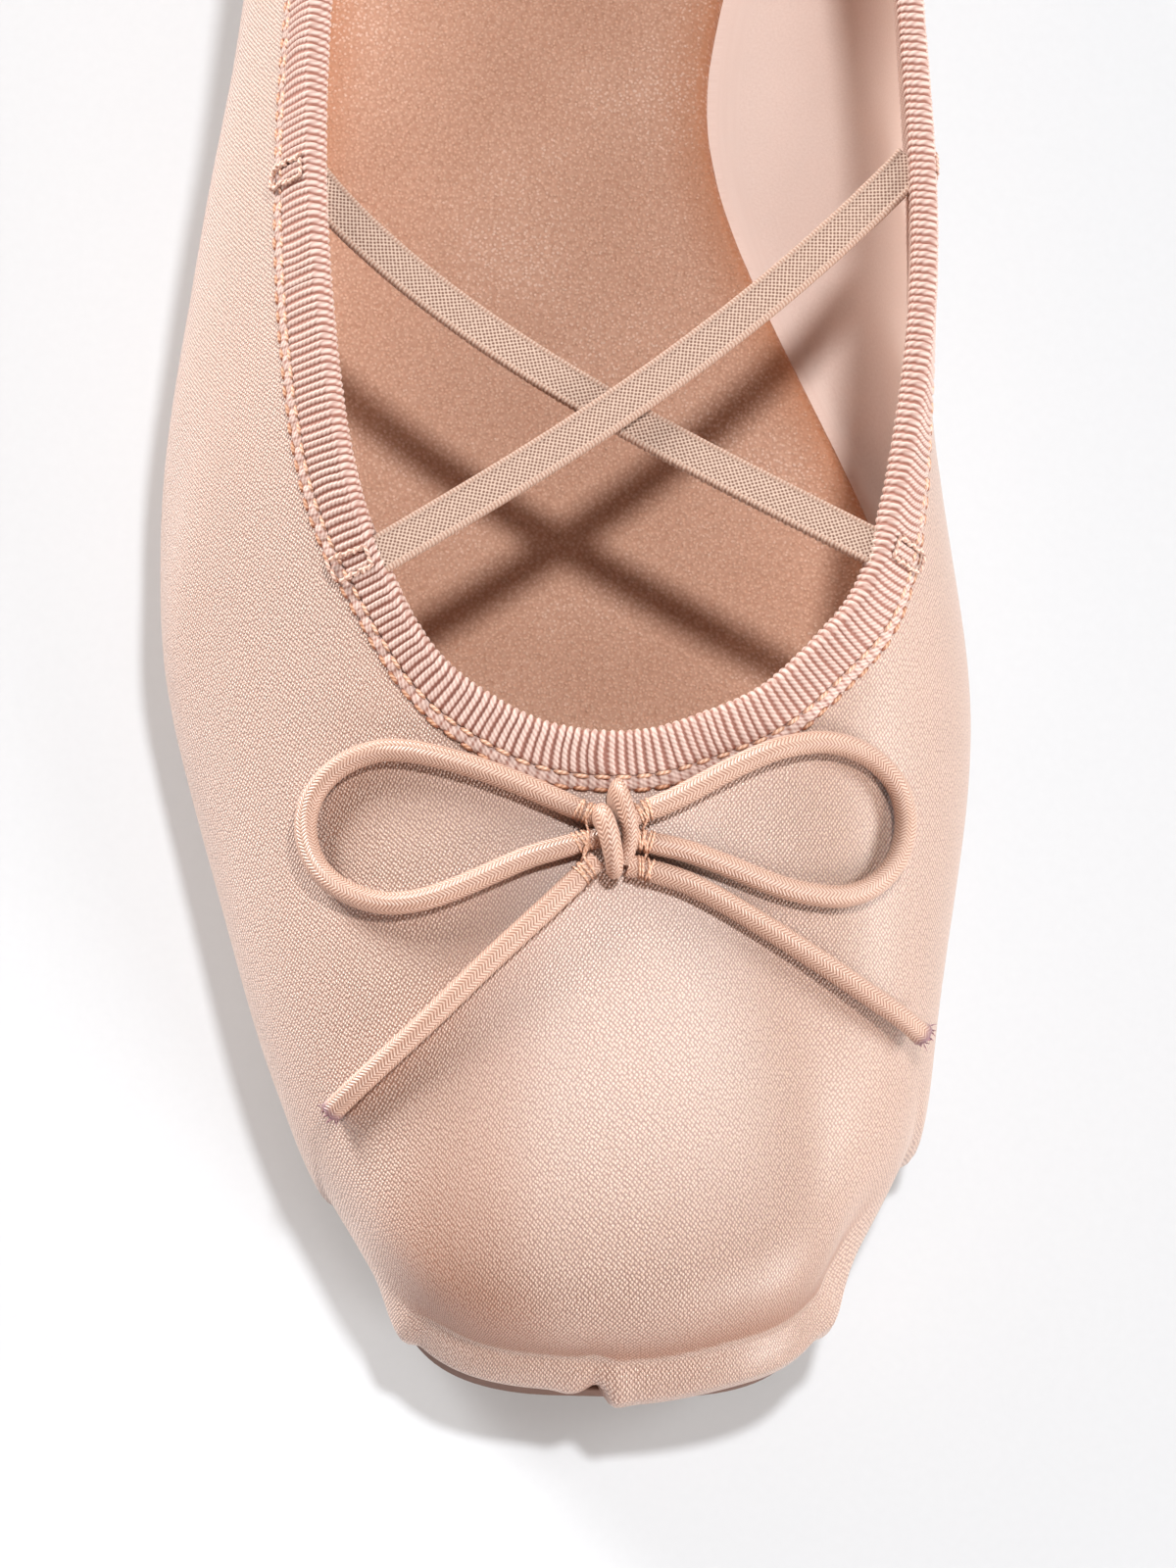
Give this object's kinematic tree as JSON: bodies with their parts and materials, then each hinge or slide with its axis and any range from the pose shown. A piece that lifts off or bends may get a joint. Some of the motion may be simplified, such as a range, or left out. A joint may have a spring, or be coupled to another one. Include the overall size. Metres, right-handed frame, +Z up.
{
  "type": "ballet flat",
  "caption": "Low slip-on satin flat shoe with a ribbon-bound topline, crossed elastic straps and a cord bow.",
  "frame": {"origin": "on the floor, on the heel's flat underside, 30 mm in front of the heel's back", "axes": "+Z up, -Y towards the toe, +X towards the inner (medial) side of the foot"},
  "size_m": [0.0917, 0.2496, 0.0579],
  "materials": {
    "satin": "satin weave, blush",
    "grosgrain": "ribbed ribbon",
    "elastic": "knitted elastic",
    "cord": "braided round cord",
    "sock_leather": "pebbled tan leather",
    "sole_rubber": "matt brown"
  },
  "bodies": {
    "root": {"outsole": "sole_rubber", "heel": "sole_rubber", "insole": "sock_leather", "upper": "satin", "binding": "grosgrain", "strap_over": "elastic", "strap_under": "elastic", "bow_knot": "cord", "bow_loop_lateral": "cord", "bow_loop_medial": "cord", "bow_tail_lateral": "cord", "bow_tail_medial": "cord"}
  },
  "joints": []
}
